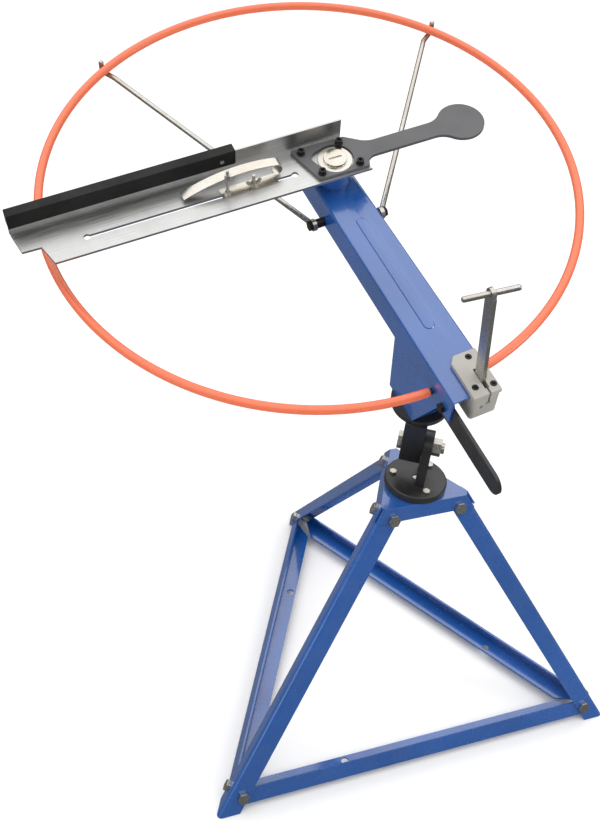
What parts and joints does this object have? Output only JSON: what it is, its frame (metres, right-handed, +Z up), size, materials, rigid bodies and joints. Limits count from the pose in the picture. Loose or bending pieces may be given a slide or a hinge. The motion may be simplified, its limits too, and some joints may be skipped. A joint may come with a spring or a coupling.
{
  "type": "clay target trap",
  "caption": "Hand-operated clay target trap: spring throwing arm with guard ring on a tilting head, on a three-legged sheet steel stand.",
  "frame": {"origin": "on the ground, under the pan axis at the middle of the three legs", "axes": "+Z up along the pan axis; -Y towards the front crossbar; the thrower stands on the -X -Y side"},
  "size_m": [0.9113, 0.9389, 0.9486],
  "materials": {
    "blue_paint": "semi-gloss mid blue powder coat on sheet steel",
    "black_paint": "satin black paint on castings and flat bar",
    "zinc_steel": "bright zinc-plated steel",
    "bright_steel": "bright spring steel",
    "black_steel": "black oxide socket and hex screws",
    "aluminium": "satin extruded aluminium",
    "rubber": "matt black extruded rubber",
    "orange_plastic": "glossy orange-red plastic tube",
    "black_plastic": "matt black plastic plugs",
    "nylon": "off-white machined nylon"
  },
  "bodies": {
    "stand": {"top_plate": "blue_paint", "leg_front_left": "blue_paint", "leg_front_right": "blue_paint", "leg_rear": "blue_paint", "crossbar_front": "blue_paint", "crossbar_right": "blue_paint", "crossbar_left": "blue_paint", "plate_bolts": "zinc_steel", "plate_nuts": "zinc_steel", "foot_bolts": "zinc_steel", "foot_nuts": "zinc_steel"},
    "swivel": {"swivel_base": "black_paint", "pan_bolt": "zinc_steel", "clamp_bolts": "zinc_steel", "clamp_nuts": "zinc_steel", "tilt_bolt": "zinc_steel", "tilt_nut": "zinc_steel"},
    "head": {"tilt_yoke": "black_paint", "flange_bolts": "zinc_steel", "flange_nuts": "zinc_steel", "mount_bracket": "blue_paint", "beam_channel": "blue_paint", "bearing_housing": "blue_paint", "upper_bearing": "zinc_steel", "lower_bearing": "zinc_steel", "spring_anchor": "zinc_steel", "main_spring": "bright_steel", "trigger_block": "nylon", "block_screws": "black_steel", "lever_pin": "zinc_steel", "lock_lever_bolt": "black_steel", "rod_guide": "blue_paint", "guard_ring": "orange_plastic", "ring_plugs": "black_plastic", "ring_screws": "black_steel", "ring_stay_left": "zinc_steel", "ring_stay_right": "zinc_steel", "stay_bolts": "black_steel", "stay_nuts": "black_steel"},
    "arm": {"throwing_arm": "aluminium", "rubber_strip": "rubber", "strip_rivets": "zinc_steel", "tail_plate": "black_paint", "tail_screws": "black_steel", "tail_nuts": "black_steel", "hub_cap": "bright_steel", "arm_hub": "zinc_steel", "arm_shaft": "zinc_steel", "crank": "zinc_steel", "crank_pin": "zinc_steel"},
    "clip": {"leaf_clip": "bright_steel", "clip_studs": "zinc_steel", "clip_nuts": "zinc_steel"},
    "wing_nut": {"wing_nut": "zinc_steel"},
    "release_lever": {"release_lever": "zinc_steel", "handle_bar": "zinc_steel"},
    "trigger_rod": {"push_rod": "zinc_steel", "sear_block": "zinc_steel"},
    "lock_lever": {"lock_lever": "black_paint"}
  },
  "joints": [
    {"name": "pan", "type": "hinge", "parent": "stand", "child": "swivel", "pos_m": [0, 0, 0.448], "axis": [0, 0, 1], "range_deg": [-24, 24]},
    {"name": "tilt", "type": "hinge", "parent": "swivel", "child": "head", "pos_m": [0, 0, 0.526], "axis": [0.8396, -0.5432, 0], "range_deg": [-18, 12]},
    {"name": "arm_turn", "type": "hinge", "parent": "head", "child": "arm", "pos_m": [-0.08542, 0.25583, 0.84004], "axis": [-0.1747, -0.27, 0.9469], "range_deg": [-250, 75], "deforming": ["main_spring"]},
    {"name": "clip_slide", "type": "slide", "parent": "arm", "child": "clip", "axis": [-0.9796, -0.0492, -0.1948], "range_m": [-0.006, 0.185]},
    {"name": "wing_turn", "type": "hinge", "parent": "clip", "child": "wing_nut", "pos_m": [-0.21615, 0.23581, 0.85056], "axis": [-0.1747, -0.27, 0.9469], "continuous": true},
    {"name": "release", "type": "hinge", "parent": "head", "child": "release_lever", "pos_m": [-0.01506, -0.12172, 0.72951], "axis": [0.9762, 0.0777, 0.2023], "range_deg": [0, 12], "stiffness_Nm_per_rad": 1.2, "springref_deg": -34.38},
    {"name": "rod_push", "type": "slide", "parent": "head", "child": "trigger_rod", "axis": [-0.1282, 0.9597, 0.25], "range_m": [0, 0.003]},
    {"name": "lock_turn", "type": "hinge", "parent": "head", "child": "lock_lever", "pos_m": [-0.06041, -0.11633, 0.70156], "axis": [0.9762, 0.0777, 0.2023], "range_deg": [-10, 14]}
  ],
  "couplings": [
    {"joint": "rod_push", "follows": "release", "m_per_rad": 0.013}
  ]
}
